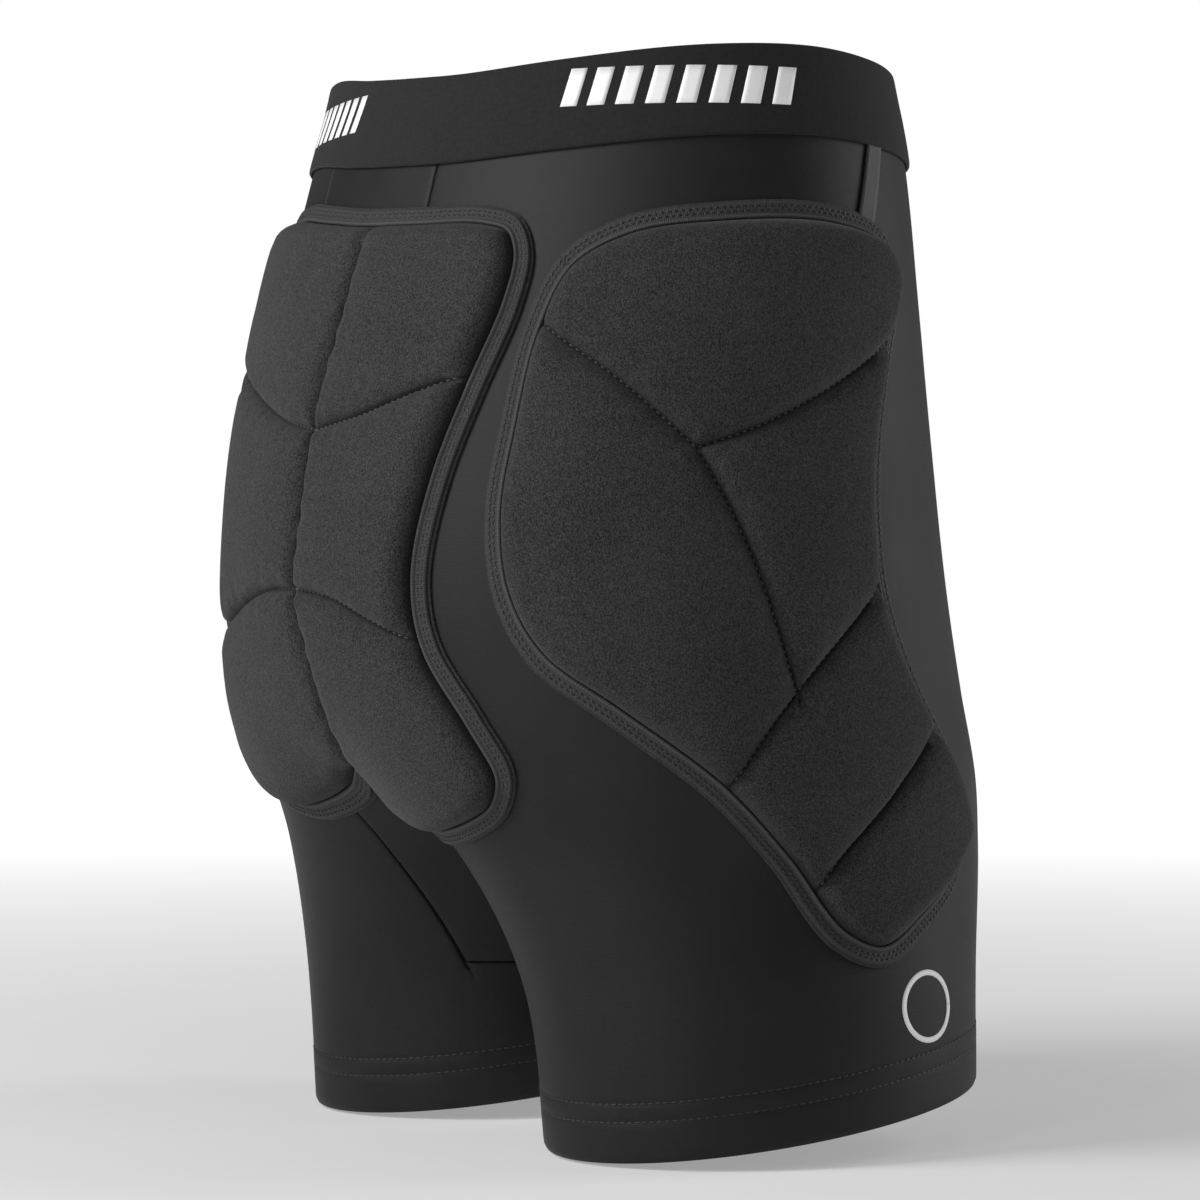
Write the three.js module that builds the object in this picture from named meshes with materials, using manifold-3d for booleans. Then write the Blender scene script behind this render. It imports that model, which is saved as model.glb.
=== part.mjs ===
// Padded impact shorts for skiing and snowboarding, standing as if worn.
// Millimetres. +Z is up, the front faces -Y and the wearer's right is -X.
// The origin is the centre of the waist opening, level with the top of the waistband.
import * as THREE from 'three';
import { mergeVertices } from 'three/addons/utils/BufferGeometryUtils.js';
import Module from 'manifold-3d';

const wasm = await Module();
wasm.setup();

// ---- driving dimensions --------------------------------------------------------------------

const WAIST_GIRTH = 780; // round the rim
const HEM_DROP = 419; // from the origin down to the hem, at the middle of the body's depth

// The stations, seams and outlines below are drawn for this size, and grow with the two above.
const DRAWN_GIRTH = 780;
const DRAWN_DROP = 419;
const wider = WAIST_GIRTH / DRAWN_GIRTH;
const longer = HEM_DROP / DRAWN_DROP;

// The body that the shorts fit is two upright tubes, one for each leg, that merge above the
// crotch. Each station gives, at one drop below the rim: how far each tube's centre stands from
// the middle, the tube's half width and half depth, and how far both lean towards the back.
const STATIONS = [
  { drop: 480, spread: 95, halfWidth: 71, halfDepth: 87, lean: -15 },
  { drop: 435, spread: 93, halfWidth: 73, halfDepth: 91, lean: -15 },
  { drop: 360, spread: 87, halfWidth: 76, halfDepth: 98, lean: -13 },
  { drop: 312, spread: 69, halfWidth: 87, halfDepth: 113, lean: -11 },
  { drop: 285, spread: 52, halfWidth: 109, halfDepth: 122, lean: -6 },
  { drop: 250, spread: 36, halfWidth: 125, halfDepth: 129, lean: 2 },
  { drop: 205, spread: 20, halfWidth: 143, halfDepth: 131, lean: 8 },
  { drop: 150, spread: 10, halfWidth: 152, halfDepth: 127, lean: 9 },
  { drop: 95, spread: 5, halfWidth: 157, halfDepth: 117, lean: 7 },
  { drop: 36, spread: 3, halfWidth: 150, halfDepth: 107, lean: 2 },
  { drop: -5, spread: 2, halfWidth: 141, halfDepth: 99, lean: 0 },
  { drop: -40, spread: 2, halfWidth: 139, halfDepth: 97, lean: 0 },
];

// The rim's height, at turns in degrees from the middle of the back towards the wearer's right.
// It dips at the back and the front and rises over the hips, a little askew, as worn.
const RIM = [
  [-180, -3.5], [-140, -3.5], [-100, -0.5], [-65, 2.4], [-33, 2.6], [-10, -2], [10, -4.8],
  [28, -6], [50, -3.8], [75, 0.5], [90, 1.4], [105, -0.6], [125, -3], [150, -3.5],
];
const BAND_HEIGHT = 36;
const BAND_THICKNESS = 1.5;
const SHELL_THICKNESS = 1.0;
const SHELL_TUCK = 12; // how far the shell runs up behind the waistband
const HEM_TILT = 0.14; // the hem drops this much for each millimetre towards the back
const HEM_TURN = 24; // height of the turned hem
const SEAM_GAP = 0.3; // between neighbouring pieces

const BACK_PANEL_HALF_WIDTH = 43 * wider;
const FRONT_PANEL_HALF_WIDTH = 46 * wider;
const GUSSET_HALF_WIDTH = 30 * wider;
const GUSSET_TOP_DROP = 262 * longer;
const GUSSET_BOTTOM_DROP = 364 * longer;

const BACKING_THICKNESS = 0.8;
const BORDER_WIDTH = 7;
const BORDER_THICKNESS = 1.8;
const COVER_THICKNESS = 1.0;
const FOAM_THICKNESS = 9.5;
const CHANNEL_WIDTH = 5; // stitched strip of cover between neighbouring foam cells

const TAB_WIDTH = 9.5;
const TAB_THICKNESS = 0.8;

// Mesh fineness: points round each tube, and rings along it, from above the rim to below the hem.
const TUBE_SIDES = 28;
const TUBE_STEPS = 12;
const TUBE_TOP = 36;
const TUBE_BOTTOM = -HEM_DROP - 49;

// ---- outlines of the pads, laid flat ---------------------------------------------------------

// A flat outline is wrapped round the body: its first number is a length of arc at WRAP_RADIUS
// from the middle of the back towards the side, and its second is the height. Both are at the
// drawn size, so an outline is inset before it grows with the shorts.
const WRAP_RADIUS = 150;

// Outline of the tail pad, from the middle of its top edge down its right side to the notch
// between its lobes, and up its left side. It sits a little askew, as worn.
const TAIL_OUTLINE = [
  [10, -58], [55, -60], [98, -62], [113, -67], [119, -80], [115, -101], [101, -133], [87, -168],
  [79, -205], [83, -229], [101, -257], [113, -280], [108, -295], [91, -304], [62, -308],
  [34, -301], [8, -283], [-20, -292], [-45, -299], [-66, -302], [-85, -298], [-99, -287],
  [-106, -271], [-102, -251], [-93, -229], [-89, -205], [-90, -168], [-96, -133], [-105, -101],
  [-110, -78], [-107, -62], [-95, -53], [-70, -51], [-35, -54],
];

// Outline of a hip pad, from its upper back corner forwards and round.
const HIP_OUTLINE = [
  [133, -82], [158, -68], [190, -63], [234, -62], [263, -70], [273, -88], [265, -118],
  [259, -150], [257, -178], [261, -210], [274, -237], [300, -274], [316, -303], [303, -326],
  [280, -342], [256, -354], [236, -346], [214, -315], [188, -288], [152, -260], [123, -238],
  [109, -213], [105, -181], [110, -147], [119, -108],
];

// Stitched channels of the tail pad: the spine in three stretches, and two that cross it. Each
// half of a crossing channel starts at the spine.
const TAIL_SPINE_UPPER = [[33, -30], [21, -86], [11, -147]];
const TAIL_SPINE_MIDDLE = [[11, -147], [8, -180], [3, -208]];
const TAIL_SPINE_LOWER = [[3, -208], [8, -232], [11, -258], [8, -340]];
const TAIL_CROSSINGS = {
  right: {
    upper: [[11, -147], [42, -142], [72, -134], [130, -119]],
    lower: [[3, -208], [30, -212], [52, -220], [77, -229], [130, -245]],
  },
  left: {
    upper: [[11, -147], [-12, -143], [-42, -135], [-71, -127], [-130, -112]],
    lower: [[3, -208], [-22, -209], [-52, -215], [-80, -224], [-130, -242]],
  },
};

// Stitched channels of a hip pad.
const HIP_JUNCTION = [181, -156];
const HIP_BACK_BRANCH = [[90, -80], [131, -112], [156, -131]];
const HIP_FRONT_BRANCH = [[203, -147], [229, -132], [253, -116], [300, -86]];
const HIP_DOWN_BRANCH = [[193, -181], [204, -209], [216, -244]];
const HIP_UPPER_DIAGONAL = [[288, -168], [251, -208], [217, -248], [194, -283], [163, -330]];
const HIP_LOWER_DIAGONAL = [[318, -234], [282, -264], [249, -298], [230, -324], [203, -361]];

// Middle line of the tape between the waistband and the hip pad's top.
const TAB_LINE = [[268, -30], [253, -70]];

// ---- working layers, measured outwards from the outer face of the shell ------------------------

const BACKING_FLOOR = SEAM_GAP;
const BACKING_TOP = BACKING_FLOOR + BACKING_THICKNESS;
const COVER_FLOOR = BACKING_TOP + SEAM_GAP;
const FOAM_TOP = COVER_FLOOR + FOAM_THICKNESS;
const COVER_TOP = FOAM_TOP + SEAM_GAP + COVER_THICKNESS;

// ---- solids ------------------------------------------------------------------------------------

function solid(geometry) {
  const bare = geometry.index ? geometry : geometry.clone();
  bare.deleteAttribute('normal');
  bare.deleteAttribute('uv');
  const merged = mergeVertices(bare, 1e-4);
  return new wasm.Manifold(new wasm.Mesh({
    numProp: 3,
    vertProperties: new Float32Array(merged.attributes.position.array),
    triVerts: new Uint32Array(merged.index.array),
  }));
}

function indexed(positions, index, flipped) {
  const geometry = new THREE.BufferGeometry();
  geometry.setAttribute('position', new THREE.Float32BufferAttribute(positions.flat(), 3));
  const triangles = flipped ? index.map(([a, b, c]) => [a, c, b]) : index;
  geometry.setIndex(triangles.flat());
  return geometry;
}

const rows = STATIONS.map((s) => [s.spread, s.halfWidth, s.halfDepth, s.lean].map((v) => v * wider));
const bodyAt = new THREE.CubicInterpolant(
  new Float32Array(STATIONS.map((s) => -s.drop * longer)), new Float32Array(rows.flat()),
  rows[0].length);

// One leg's tube, grown outwards by `offset`. `side` is 1 for the wearer's left.
function tube(side, offset) {
  const positions = [];
  const index = [];
  const steps = TUBE_STEPS;
  for (let ring = 0; ring <= steps; ring++) {
    const z = TUBE_BOTTOM + (ring / steps) * (TUBE_TOP - TUBE_BOTTOM);
    const [spread, halfWidth, halfDepth, lean] = bodyAt.evaluate(z);
    for (let i = 0; i < TUBE_SIDES; i++) {
      const turn = (2 * Math.PI * i) / TUBE_SIDES;
      const x = spread + (halfWidth + offset) * Math.cos(turn);
      const y = lean + (halfDepth + offset) * Math.sin(turn);
      positions.push([side * x, y, z]);
    }
  }
  const at = (ring, i) => ring * TUBE_SIDES + (i % TUBE_SIDES);
  for (let ring = 0; ring < steps; ring++) {
    for (let i = 0; i < TUBE_SIDES; i++) {
      index.push([at(ring, i), at(ring, i + 1), at(ring + 1, i + 1)]);
      index.push([at(ring, i), at(ring + 1, i + 1), at(ring + 1, i)]);
    }
  }
  for (let i = 1; i < TUBE_SIDES - 1; i++) {
    index.push([at(0, 0), at(0, i + 1), at(0, i)]);
    index.push([at(steps, 0), at(steps, i), at(steps, i + 1)]);
  }
  return solid(indexed(positions, index, side < 0));
}

const bodies = new Map();
function body(offset) {
  const key = offset.toFixed(3);
  if (!bodies.has(key)) {
    bodies.set(key, tube(1, offset).add(tube(-1, offset)));
  }
  return bodies.get(key);
}

// The skin between two distances from the shell's outer face.
function layer(inner, outer) {
  return body(outer).subtract(body(inner));
}

// A block across the whole model between two drops, sloping down by `tilt` towards the back.
function slab(topDrop, bottomDrop, tilt) {
  const reach = 700;
  const box = new THREE.BoxGeometry(reach, reach, bottomDrop - topDrop);
  const points = box.attributes.position;
  for (let i = 0; i < points.count; i++) {
    const z = points.getZ(i) - (topDrop + bottomDrop) / 2 - tilt * points.getY(i);
    points.setZ(i, z);
  }
  return solid(box);
}

// The rim's height at any turn, in degrees, on a smooth closed curve.
function rimAt(turn) {
  const spans = [-360, 0, 360].flatMap((lap) => RIM.map(([at, height]) => [at + lap, height]));
  const curve = new THREE.CubicInterpolant(
    new Float32Array(spans.map(([at]) => at)), new Float32Array(spans.map((s) => s[1])), 1);
  return curve.evaluate(turn)[0];
}

// A block across the whole model between two drops below the rim, whose top and bottom follow it.
function rimSlab(topDrop, bottomDrop) {
  const steps = 60;
  const radii = [40, 700];
  const positions = [];
  const index = [];
  const perLevel = 1 + radii.length * steps;
  for (const drop of [bottomDrop, topDrop]) {
    positions.push([0, 0, -drop]);
    for (const radius of radii) {
      for (let i = 0; i < steps; i++) {
        const degrees = (360 * i) / steps - 180;
        const turn = THREE.MathUtils.degToRad(degrees);
        positions.push([-radius * Math.sin(turn), radius * Math.cos(turn), rimAt(degrees) - drop]);
      }
    }
  }
  for (let i = 0; i < steps; i++) {
    const j = (i + 1) % steps;
    const [a, b, c, d] = [1 + i, 1 + j, 1 + steps + i, 1 + steps + j];
    index.push([0, b, a], [a, b, d], [a, d, c]);
    const top = [a, b, c, d].map((k) => k + perLevel);
    index.push([perLevel, top[0], top[1]], [top[0], top[3], top[1]], [top[0], top[2], top[3]]);
    index.push([c, d, top[3]], [c, top[3], top[2]]);
  }
  return solid(indexed(positions, index, false));
}

function block(x0, x1, y0, y1, z0, z1) {
  const box = new THREE.BoxGeometry(x1 - x0, y1 - y0, z1 - z0);
  box.translate((x0 + x1) / 2, (y0 + y1) / 2, (z0 + z1) / 2);
  return solid(box);
}

// ---- flat outlines -----------------------------------------------------------------------------

// A smooth closed curve through the given points.
function rounded(points) {
  const corners = points.map(([u, z]) => new THREE.Vector3(u, z, 0));
  const curve = new THREE.CatmullRomCurve3(corners, true, 'centripetal');
  return curve.getPoints(points.length).slice(0, -1).map((p) => [p.x, p.y]);
}

function anticlockwise(points) {
  const flat = points.map(([u, z]) => new THREE.Vector2(u, z));
  return THREE.ShapeUtils.isClockWise(flat) ? [...points].reverse() : points;
}

// The closed outline moved inwards by `distance`, with mitred corners.
function inset(points, distance) {
  const ring = anticlockwise(points).map(([u, z]) => new THREE.Vector2(u, z));
  return ring.map((here, i) => {
    const before = ring[(i + ring.length - 1) % ring.length];
    const after = ring[(i + 1) % ring.length];
    const a = here.clone().sub(before).normalize();
    const b = after.clone().sub(here).normalize();
    const normal = new THREE.Vector2(-a.y - b.y, a.x + b.x).normalize();
    const mitre = Math.max(0.35, normal.dot(new THREE.Vector2(-a.y, a.x)));
    return [here.x + (normal.x * distance) / mitre, here.y + (normal.y * distance) / mitre];
  });
}

// The outline wrapped round the body and pushed out along the radius into a wedge.
// `side` is -1 for the wearer's right, where arcs run towards -X.
const WEDGE_RADII = [30, 95, 130, 165, 500].map((radius) => radius * wider);
function wedge(outline, side) {
  const ring = anticlockwise(outline);
  const positions = [];
  const index = [];
  for (const radius of WEDGE_RADII) {
    for (const [u, z] of ring) {
      const turn = u / WRAP_RADIUS;
      positions.push([side * radius * Math.sin(turn), radius * Math.cos(turn), z * longer]);
    }
  }
  const count = ring.length;
  const last = WEDGE_RADII.length - 1;
  for (let level = 0; level < last; level++) {
    for (let i = 0; i < count; i++) {
      const a = level * count + i;
      const b = level * count + ((i + 1) % count);
      index.push([a, b, b + count], [a, b + count, a + count]);
    }
  }
  const flat = ring.map(([u, z]) => new THREE.Vector2(u, z));
  for (const [a, b, c] of THREE.ShapeUtils.triangulateShape(flat, [])) {
    index.push([a, c, b], [last * count + a, last * count + b, last * count + c]);
  }
  return solid(indexed(positions, index, side > 0));
}

// ---- the pads ----------------------------------------------------------------------------------

// Each pad is a lining, foam cells standing on it, a cover with a pocket for each cell, and a
// flat bound border. `cells` gives each cell's flat region; regions meet along the channels,
// where the cover is stitched down between the cells.
function makePad(outline, cells, side) {
  const whole = wedge(outline, side);
  const borderHole = wedge(inset(outline, BORDER_WIDTH - SEAM_GAP), side);
  const coverEdge = wedge(inset(outline, BORDER_WIDTH), side);
  const pocketEdge = wedge(inset(outline, BORDER_WIDTH + COVER_THICKNESS), side);
  const foamEdge = wedge(inset(outline, BORDER_WIDTH + COVER_THICKNESS + SEAM_GAP), side);
  const borderBand = layer(COVER_FLOOR, COVER_FLOOR + BORDER_THICKNESS);
  const hollow = pocketEdge.intersect(layer(COVER_FLOOR - SEAM_GAP, FOAM_TOP + SEAM_GAP));
  const filled = foamEdge.intersect(layer(COVER_FLOOR, FOAM_TOP));

  const backing = whole.intersect(layer(BACKING_FLOOR, BACKING_TOP));
  const border = whole.intersect(borderBand).subtract(borderHole);
  let cover = coverEdge.intersect(layer(COVER_FLOOR, COVER_TOP));
  const foams = {};
  for (const [name, region] of Object.entries(cells)) {
    const pocket = wedge(inset(region, CHANNEL_WIDTH / 2), side);
    const core = wedge(inset(region, CHANNEL_WIDTH / 2 + SEAM_GAP), side);
    cover = cover.subtract(hollow.intersect(pocket));
    foams[name] = filled.intersect(core);
  }
  return { backing, border, cover, foams };
}

function tailPad() {
  const [, top] = TAIL_SPINE_UPPER[0];
  const [, bottom] = TAIL_SPINE_LOWER.at(-1);
  const cells = {};
  for (const [name, { upper, lower }] of Object.entries(TAIL_CROSSINGS)) {
    const far = name === 'right' ? 170 : -170;
    const upperBack = upper.slice(1).reverse();
    const spineBack = TAIL_SPINE_LOWER.slice(1).reverse();
    cells[`upper_${name}`] = [...TAIL_SPINE_UPPER, ...upper.slice(1), [far, top]];
    cells[`middle_${name}`] = [...TAIL_SPINE_MIDDLE, ...lower.slice(1), ...upperBack];
    cells[`lower_${name}`] = [...lower, [far, bottom], ...spineBack];
  }
  return makePad(rounded(TAIL_OUTLINE), cells, -1);
}

function hipPad(side) {
  const outline = rounded(HIP_OUTLINE);
  const upperSplit = HIP_UPPER_DIAGONAL.slice(0, 3);
  const lowerSplit = HIP_UPPER_DIAGONAL.slice(2);
  const front = [340, -120];
  const back = [60, -120];
  const cells = {
    top: [...HIP_BACK_BRANCH, HIP_JUNCTION, ...HIP_FRONT_BRANCH, [300, -30], [90, -30]],
    back: [...HIP_BACK_BRANCH, HIP_JUNCTION, ...HIP_DOWN_BRANCH, ...lowerSplit.slice(1), back],
    front: [HIP_JUNCTION, ...HIP_FRONT_BRANCH, front, ...upperSplit,
      ...HIP_DOWN_BRANCH.slice(0, -1).reverse()],
    middle: [...HIP_UPPER_DIAGONAL, ...[...HIP_LOWER_DIAGONAL].reverse()],
    lower: [...HIP_LOWER_DIAGONAL, [230, -390], [360, -390], [360, -250]],
  };
  return makePad(outline, cells, side);
}

// The narrow tape from under the waistband down to the top edge of a hip pad.
function waistTab(side) {
  const [[topU, topZ], [lowU, lowZ]] = TAB_LINE;
  const half = TAB_WIDTH / 2 / wider;
  const strip = [[topU - half, topZ], [topU + half, topZ], [lowU + half, lowZ], [lowU - half, lowZ]];
  const tape = wedge(strip, side).intersect(layer(SEAM_GAP, SEAM_GAP + TAB_THICKNESS));
  const underBand = rimSlab(BAND_HEIGHT + SEAM_GAP, HEM_DROP);
  return tape.intersect(underBand).subtract(wedge(inset(rounded(HIP_OUTLINE), -SEAM_GAP), side));
}

// ---- shell and waistband -----------------------------------------------------------------------

// A panel's cut: the block between two upright seams at -half and half, grown by `ease`.
function panelBlock({ half, y0, y1, z0, z1 }, ease) {
  return block(-half - ease, half + ease, y0, y1, z0 - ease, z1);
}

function shellPanels() {
  const cloth = layer(-SHELL_THICKNESS, 0).intersect(rimSlab(BAND_HEIGHT - SHELL_TUCK, 600));
  const hemPly = layer(-2 * SHELL_THICKNESS, -SHELL_THICKNESS / 2)
    .intersect(slab(HEM_DROP - HEM_TURN, 600, HEM_TILT));
  const whole = cloth.add(hemPly).subtract(slab(HEM_DROP, 900, HEM_TILT));
  const far = 600;
  const gussetTop = -GUSSET_TOP_DROP;
  const centreSeam = gussetTop + SEAM_GAP;
  const cuts = {
    shell_back: { half: BACK_PANEL_HALF_WIDTH, y0: 0, y1: far, z0: centreSeam, z1: far },
    shell_front: { half: FRONT_PANEL_HALF_WIDTH, y0: -far, y1: 0, z0: centreSeam, z1: far },
    crotch_gusset: {
      half: GUSSET_HALF_WIDTH, y0: -far, y1: far, z0: -GUSSET_BOTTOM_DROP, z1: gussetTop,
    },
  };
  const panels = {};
  let sides = whole;
  for (const [name, cut] of Object.entries(cuts)) {
    panels[name] = whole.intersect(panelBlock(cut, 0));
    sides = sides.subtract(panelBlock(cut, SEAM_GAP));
  }
  panels.shell_side_right = sides.intersect(block(-far, -SEAM_GAP / 2, -far, far, -far, far));
  panels.shell_side_left = sides.intersect(block(SEAM_GAP / 2, far, -far, far, -far, far));
  return panels;
}

function waistband() {
  return layer(SEAM_GAP, SEAM_GAP + BAND_THICKNESS).intersect(rimSlab(0, BAND_HEIGHT));
}

// ---- the model ---------------------------------------------------------------------------------

function finish(colour, roughness) {
  return new THREE.MeshStandardMaterial({ color: colour, roughness, metalness: 0 });
}

const knit = finish(0x1d1d1f, 0.72);
const bandElastic = finish(0x2a2a2c, 0.9);
const brushedCover = finish(0x303032, 0.95);
const bindingTape = finish(0x262628, 0.75);
const liningMesh = finish(0x18181a, 0.85);
const foam = finish(0x8c8c88, 0.98);
const tape = finish(0x4a4a4c, 0.7);

const shorts = new THREE.Group();

function place(name, shape, material) {
  const { numProp, vertProperties, triVerts } = shape.getMesh();
  const points = [];
  for (let i = 0; i < vertProperties.length; i += numProp) {
    points.push(vertProperties[i], vertProperties[i + 1], vertProperties[i + 2]);
  }
  const geometry = new THREE.BufferGeometry();
  geometry.setAttribute('position', new THREE.Float32BufferAttribute(points, 3));
  geometry.setIndex([...triVerts]);
  geometry.computeVertexNormals();
  const mesh = new THREE.Mesh(geometry, material);
  mesh.name = name;
  shorts.add(mesh);
}

place('waistband', waistband(), bandElastic);
for (const [name, shape] of Object.entries(shellPanels())) {
  place(name, shape, knit);
}

const pads = {
  tail_pad: tailPad(),
  hip_pad_right: hipPad(-1),
  hip_pad_left: hipPad(1),
};
for (const [name, pad] of Object.entries(pads)) {
  place(`${name}_backing`, pad.backing, liningMesh);
  place(`${name}_border`, pad.border, bindingTape);
  place(`${name}_cover`, pad.cover, brushedCover);
  for (const [cell, shape] of Object.entries(pad.foams)) {
    place(`${name}_foam_${cell}`, shape, foam);
  }
}

place('waist_tab_right', waistTab(-1), tape);
place('waist_tab_left', waistTab(1), tape);

export default shorts;
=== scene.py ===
# %% Load the frame
import math

import bmesh
import bpy
import numpy as np
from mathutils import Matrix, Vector
from mathutils.geometry import delaunay_2d_cdt
from mathutils.kdtree import KDTree


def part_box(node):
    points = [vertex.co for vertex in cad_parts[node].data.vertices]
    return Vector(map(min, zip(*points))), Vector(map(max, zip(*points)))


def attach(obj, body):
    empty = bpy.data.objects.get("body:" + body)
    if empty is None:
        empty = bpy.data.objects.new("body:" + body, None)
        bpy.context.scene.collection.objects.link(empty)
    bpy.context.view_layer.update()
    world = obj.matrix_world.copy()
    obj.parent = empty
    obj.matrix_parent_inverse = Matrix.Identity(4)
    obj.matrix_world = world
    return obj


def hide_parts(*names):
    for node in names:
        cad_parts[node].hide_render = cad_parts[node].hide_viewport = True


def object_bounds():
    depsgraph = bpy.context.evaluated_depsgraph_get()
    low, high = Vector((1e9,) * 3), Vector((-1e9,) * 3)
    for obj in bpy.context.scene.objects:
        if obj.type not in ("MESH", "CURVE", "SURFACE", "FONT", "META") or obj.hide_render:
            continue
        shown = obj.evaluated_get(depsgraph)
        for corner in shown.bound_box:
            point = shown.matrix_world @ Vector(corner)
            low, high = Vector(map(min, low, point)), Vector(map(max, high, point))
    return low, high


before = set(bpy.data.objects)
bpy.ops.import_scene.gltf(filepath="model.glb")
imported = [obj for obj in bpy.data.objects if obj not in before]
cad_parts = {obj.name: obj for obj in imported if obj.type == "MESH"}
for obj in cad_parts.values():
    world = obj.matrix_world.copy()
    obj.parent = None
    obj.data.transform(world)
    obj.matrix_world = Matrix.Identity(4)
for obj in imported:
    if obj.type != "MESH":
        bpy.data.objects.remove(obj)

cad_box = [list(corner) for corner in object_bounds()]
print("solid model's box", cad_box)

# %% [markdown]
# # Padded impact shorts
# These are tight stretch shorts that skiers and snowboarders wear under their trousers. A padded
# shield covers the tailbone and one more covers each hip and thigh. The shorts stand as if worn,
# so the cloth takes the shape of a body that isn't shown. The solid model gives the sizes and
# the place of each piece, and this script makes each piece again as cloth, foam and thread.

# %% [markdown]
# ## The body that shapes the cloth
# Cloth this tight has hardly a fold of its own: it is the body's skin, a little further out.
# It could be sculpted, but two smooth tubes, one for each leg, that merge above the crotch give
# the same form with a handful of numbers. They are the solid model's own numbers, in millimetres:
# height, how far each tube's centre stands from the middle, its half width, its half depth, and
# how far it leans back. Curves through them make every other height.

# %% The body's stations and the curve between them
MM = 0.001
BODY = MM * np.array([
    (-480, 95, 71, 87, -15), (-435, 93, 73, 91, -15), (-360, 87, 76, 98, -13),
    (-312, 69, 87, 113, -11), (-285, 52, 109, 122, -6), (-250, 36, 125, 129, 2),
    (-205, 20, 143, 131, 8), (-150, 10, 152, 127, 9), (-95, 5, 157, 117, 7),
    (-36, 3, 150, 107, 2), (5, 2, 141, 99, 0), (40, 2, 139, 97, 0),
])
HEM_TILT = 0.14
HEM_DROP = 419 * MM
CLEFT_FILL = 14 * MM
FULL_SPREAD = 40 * MM


def hermite(start, end, leave, arrive, t):
    """The smooth curve between two values that leaves and arrives at the given slopes."""
    return (start * (1 + 2 * t) * (1 - t) ** 2 + leave * t * (1 - t) ** 2
            + end * t * t * (3 - 2 * t) + arrive * t * t * (t - 1))


def through(table, at):
    """The smooth curve through a table's rows, read at places along its first column."""
    levels, rows = table[:, 0], table[:, 1:]
    slopes = np.diff(rows, axis=0) / np.diff(levels)[:, None]
    tangents = np.vstack([slopes[:1], (slopes[1:] + slopes[:-1]) / 2, slopes[-1:]])
    i = np.clip(np.searchsorted(levels, at) - 1, 0, len(levels) - 2)
    step = (levels[i + 1] - levels[i])[:, None]
    t = (at - levels[i])[:, None] / step
    made = hermite(rows[i], rows[i + 1], step * tangents[i], step * tangents[i + 1], t)
    return made.T


def body_at(height):
    """Spread, half width, half depth and lean of the body at each height."""
    return through(BODY, height)


def smooth_max(a, b, fill, spread):
    """The larger of two fields, rounded over where they meet, less where the tubes are one."""
    reach = fill * np.clip(spread / FULL_SPREAD, 0.02, 1)
    near = np.maximum(reach - np.abs(a - b), 0) / reach
    return np.maximum(a, b) + near ** 2 * reach / 4


def off_leg(points, side):
    """How far each point is outside one leg's tube. Side is 1 for the wearer's left."""
    spread, wide, deep, lean = body_at(points[:, 2])
    x = (side * points[:, 0] - spread) / wide
    y = (points[:, 1] - lean) / deep
    ring = np.sqrt(x * x + y * y) + 1e-9
    steep = np.sqrt((x / wide) ** 2 + (y / deep) ** 2) / ring
    return (ring - 1) / steep


def off_body(points):
    """How far each point is outside the cloth's outer face."""
    spread = body_at(points[:, 2])[0]
    return -smooth_max(-off_leg(points, -1), -off_leg(points, 1), CLEFT_FILL, spread)


def slope_of(field, points, step=0.4 * MM):
    """The direction in which a field grows fastest, at each point."""
    parts = [field(points + step * axis) - field(points - step * axis) for axis in np.eye(3)]
    return np.array(parts).T / (2 * step)


print("body's width at hip height", 2 * float(sum(body_at(np.array([-0.15]))[:2, 0])))

# %% [markdown]
# ## Wrapping a flat pattern round the body
# The pads are cut flat and bend round the hips. A flat pattern point has an arc length, measured
# from the middle of the back at a radius of 150 mm, and a height. To wrap it, a ray leaves the
# middle of the body in that direction and stops at the skin, and the point is then raised along
# the skin's normal. A Shrinkwrap modifier could do it too, but it can't raise by exact amounts.

# %% Wrap a pattern point
WRAP_RADIUS = 150 * MM
PAD_FILL = 30 * MM


def reach_of(arc, height):
    """Distance from the body's middle line to its skin, for pads that bridge its hollows."""
    spread, wide, deep, lean = body_at(height)
    dx, dy = -np.sin(arc / WRAP_RADIUS), np.cos(arc / WRAP_RADIUS)
    found = []
    for centre in (-spread, spread):
        a = (dx / wide) ** 2 + (dy / deep) ** 2
        b = dx * centre / wide ** 2 + dy * lean / deep ** 2
        c = (centre / wide) ** 2 + (lean / deep) ** 2 - 1
        found.append((b + np.sqrt(np.maximum(b * b - a * c, 0))) / a)
    return smooth_max(found[0], found[1], PAD_FILL, spread)


def on_skin(arc, height):
    reach = reach_of(arc, height)
    turn = arc / WRAP_RADIUS
    return np.stack([-reach * np.sin(turn), reach * np.cos(turn), height], axis=1)


def unit(vectors):
    """Each row scaled to a length of one."""
    return vectors / np.linalg.norm(vectors, axis=1)[:, None]


def wrapped(pattern, side=-1):
    """Pattern points (arc, height, rise), in metres, bent round the wearer's right (-1) or left."""
    arc, height, rise = np.asarray(pattern, float).T
    step = 1.0 * MM
    along = on_skin(arc + step, height) - on_skin(arc - step, height)
    up = on_skin(arc, height + step) - on_skin(arc, height - step)
    normal = unit(np.cross(along, up))
    points = on_skin(arc, height) + normal * rise[:, None]
    return points * np.array([-side, 1, 1]), normal * np.array([-side, 1, 1])


print("skin at the side of the hip", wrapped([(0.235, -0.15, 0)])[0].round(4))

# %% [markdown]
# ## Making meshes
# Each piece is worked out as numbers first and handed to Blender as one mesh. Cloth has two faces
# and an edge all round, so a sheet of points gets a second sheet under it, and a wall joins the
# two along every open edge. A Solidify modifier does much the same, but here the thickness may
# differ from point to point, as it does at a turned hem.

# %% Mesh helpers
def add_object(name, data):
    """A new object in the scene."""
    made = bpy.data.objects.new(name, data)
    bpy.context.scene.collection.objects.link(made)
    return made


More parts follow.
